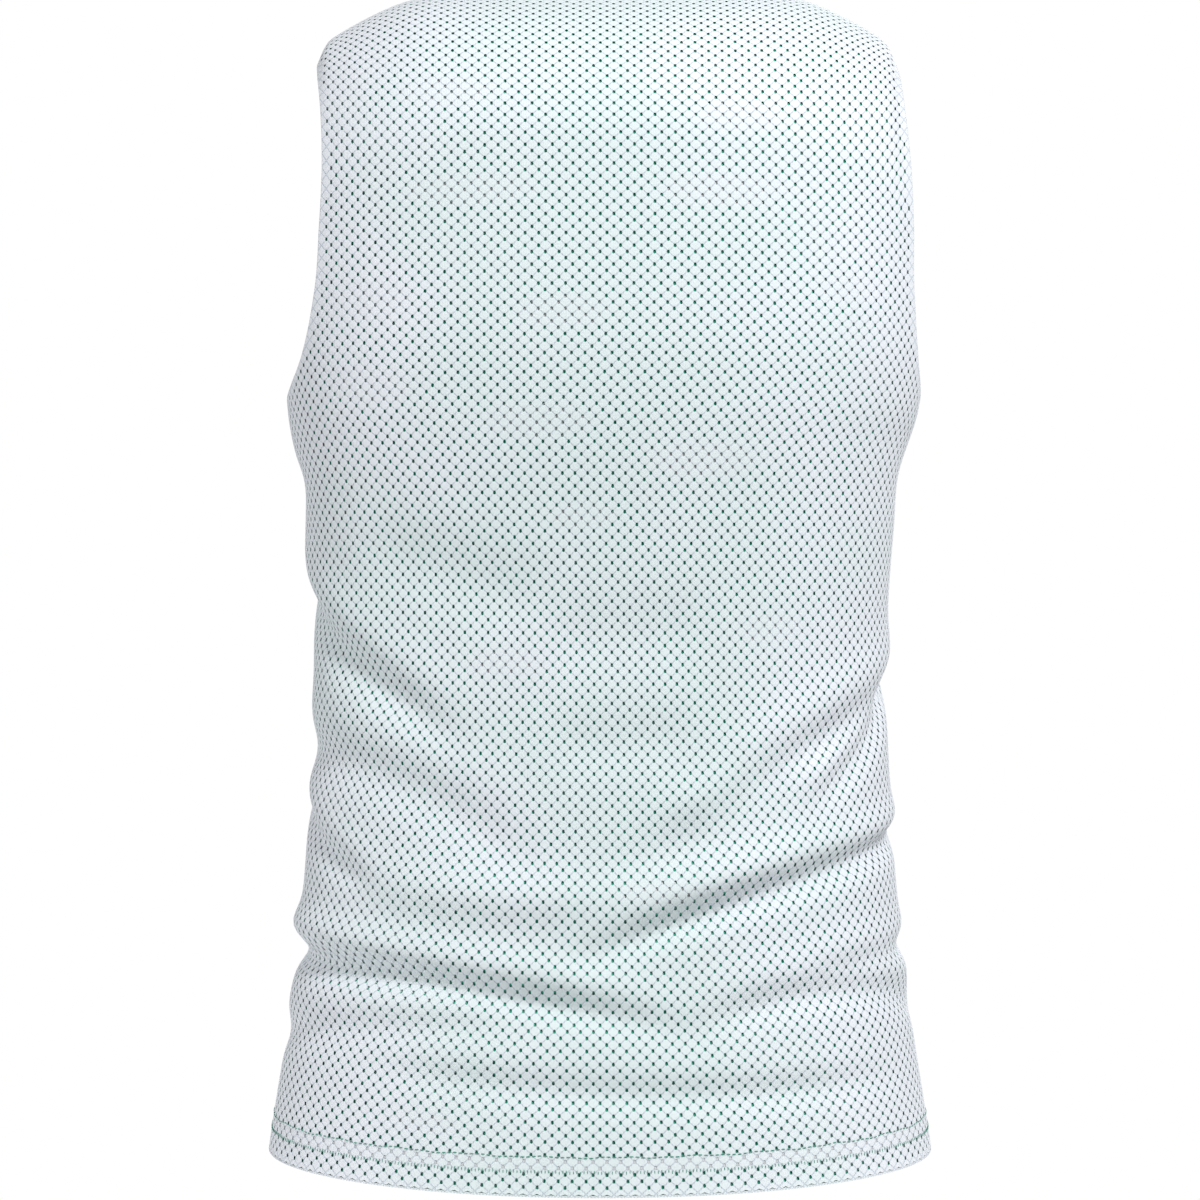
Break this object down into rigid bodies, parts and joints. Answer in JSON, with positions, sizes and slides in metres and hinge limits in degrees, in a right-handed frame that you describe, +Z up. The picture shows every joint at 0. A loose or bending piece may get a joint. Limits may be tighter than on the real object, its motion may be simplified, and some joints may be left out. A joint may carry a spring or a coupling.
{
  "type": "reversible basketball jersey",
  "caption": "Sleeveless two-layer mesh jersey, filled out as when worn, with a scoop neck, open armholes and a turned hem.",
  "frame": {"origin": "midway between the shoulder tops, level with the neck points, where the wearer's shoulders hold it", "axes": "+Z up towards the shoulders, +Y out of the front, +X to the right when seen from behind"},
  "size_m": [0.42, 0.2447, 0.7432],
  "materials": {
    "white_knit": "matte open-hole knit",
    "green_knit": "matte open-hole knit",
    "green_thread": "matte sewing thread"
  },
  "bodies": {
    "root": {"back_outer": "white_knit", "front_outer": "white_knit", "back_inner": "green_knit", "front_inner": "green_knit"}
  },
  "joints": []
}
